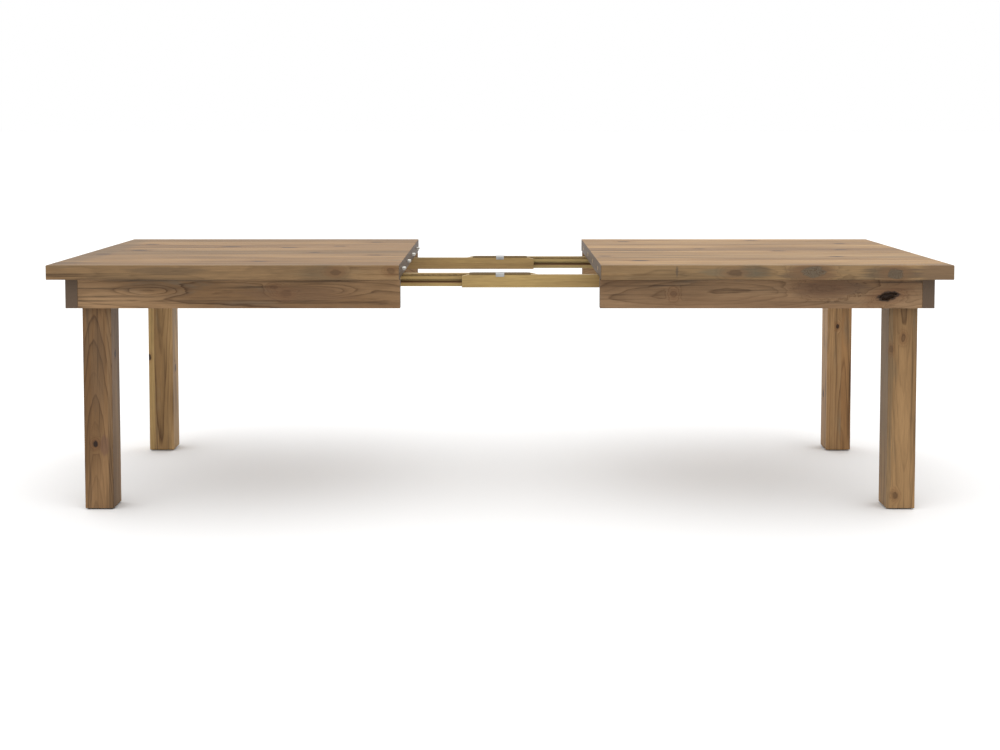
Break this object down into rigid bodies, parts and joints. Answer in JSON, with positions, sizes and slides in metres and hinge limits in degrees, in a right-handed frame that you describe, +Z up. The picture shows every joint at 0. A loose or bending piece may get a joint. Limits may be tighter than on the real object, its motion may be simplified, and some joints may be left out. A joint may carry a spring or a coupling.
{
  "type": "extendable dining table",
  "caption": "Rectangular wooden dining table in two half tops on square legs, pulled apart on wooden equalizer slides to take leaves.",
  "frame": {"origin": "on the floor under the middle of the table, with the halves pulled apart as drawn", "axes": "+X along the table to the half with the sockets, +Y to the back, +Z up"},
  "size_m": [2.7432, 1.016, 0.765],
  "materials": {
    "top_wood": "satin stained knotty wood, grain along the table",
    "apron_wood": "satin stained knotty wood",
    "leg_wood": "satin stained knotty wood",
    "rail_wood": "clear finished hardwood",
    "frame_wood": "bare hardwood",
    "cover_wood": "dark brown pressed board",
    "key_wood": "waxed hardwood",
    "glide_plastic": "off-white nylon",
    "nickel": "bright nickel plate",
    "brass": "turned brass",
    "dark_steel": "dark oiled steel",
    "zinc_steel": "zinc plated steel"
  },
  "bodies": {
    "left_half": {"left_top": "top_wood", "left_front_apron": "apron_wood", "left_back_apron": "apron_wood", "left_end_apron": "apron_wood", "left_front_leg": "leg_wood", "left_back_leg": "leg_wood", "left_glides": "glide_plastic", "left_corner_blocks": "frame_wood", "left_apron_dowels": "frame_wood", "left_hanger_bolts": "zinc_steel", "left_bolt_washers": "zinc_steel", "left_bolt_nuts": "zinc_steel", "left_cross_batten": "frame_wood", "left_frame_screws": "dark_steel", "left_top_clips": "zinc_steel", "left_clip_screws": "dark_steel", "left_front_rail": "rail_wood", "left_back_rail": "rail_wood", "left_rail_screws": "dark_steel", "left_rail_stops": "zinc_steel", "left_front_rack": "zinc_steel", "left_back_rack": "zinc_steel", "alignment_pins": "nickel", "lock_plates": "zinc_steel", "lock_plate_screws": "dark_steel"},
    "right_half": {"right_top": "top_wood", "right_front_apron": "apron_wood", "right_back_apron": "apron_wood", "right_end_apron": "apron_wood", "right_front_leg": "leg_wood", "right_back_leg": "leg_wood", "right_glides": "glide_plastic", "right_corner_blocks": "frame_wood", "right_apron_dowels": "frame_wood", "right_hanger_bolts": "zinc_steel", "right_bolt_washers": "zinc_steel", "right_bolt_nuts": "zinc_steel", "right_cross_batten": "frame_wood", "right_frame_screws": "dark_steel", "right_top_clips": "zinc_steel", "right_clip_screws": "dark_steel", "right_front_rail": "rail_wood", "right_back_rail": "rail_wood", "right_rail_screws": "dark_steel", "right_rail_stops": "zinc_steel", "right_front_rack": "zinc_steel", "right_back_rack": "zinc_steel", "socket_bushes": "brass", "lock_keepers": "zinc_steel", "keeper_screws": "dark_steel"},
    "front_carriage": {"front_slide_cover": "cover_wood", "front_slide_strap": "zinc_steel", "front_slide_key": "key_wood"},
    "front_pinion_gear": {"front_pinion": "brass"},
    "front_lock": {"front_lock_lever": "dark_steel"},
    "back_carriage": {"back_slide_cover": "cover_wood", "back_slide_strap": "zinc_steel", "back_slide_key": "key_wood"},
    "back_pinion_gear": {"back_pinion": "brass"},
    "back_lock": {"back_lock_lever": "dark_steel"}
  },
  "joints": [
    {"name": "table_slide", "type": "slide", "parent": "left_half", "child": "right_half", "axis": [1, 0, 0], "range_m": [-0.6094, 0.0508]},
    {"name": "front_carriage_slide", "type": "slide", "parent": "left_half", "child": "front_carriage", "axis": [1, 0, 0], "range_m": [-0.3048, 0.0255]},
    {"name": "front_pinion_turn", "type": "hinge", "parent": "front_carriage", "child": "front_pinion_gear", "pos_m": [0, -0.293, 0.713], "axis": [0, 0, 1], "range_deg": [-2328.5, 194.5]},
    {"name": "front_lock_swing", "type": "hinge", "parent": "left_half", "child": "front_lock", "pos_m": [-0.3488, -0.195, 0.7167], "axis": [0, 0, -1], "range_deg": [0, 90]},
    {"name": "back_carriage_slide", "type": "slide", "parent": "left_half", "child": "back_carriage", "axis": [1, 0, 0], "range_m": [-0.3048, 0.0255]},
    {"name": "back_pinion_turn", "type": "hinge", "parent": "back_carriage", "child": "back_pinion_gear", "pos_m": [0, 0.293, 0.713], "axis": [0, 0, 1], "range_deg": [-194.5, 2328.5]},
    {"name": "back_lock_swing", "type": "hinge", "parent": "left_half", "child": "back_lock", "pos_m": [-0.3488, 0.195, 0.7167], "axis": [0, 0, 1], "range_deg": [0, 90]}
  ],
  "couplings": [
    {"joint": "front_carriage_slide", "follows": "table_slide", "ratio": 0.5},
    {"joint": "front_pinion_turn", "follows": "table_slide", "rad_per_m": 66.667},
    {"joint": "back_carriage_slide", "follows": "table_slide", "ratio": 0.5},
    {"joint": "back_pinion_turn", "follows": "table_slide", "rad_per_m": -66.667}
  ]
}
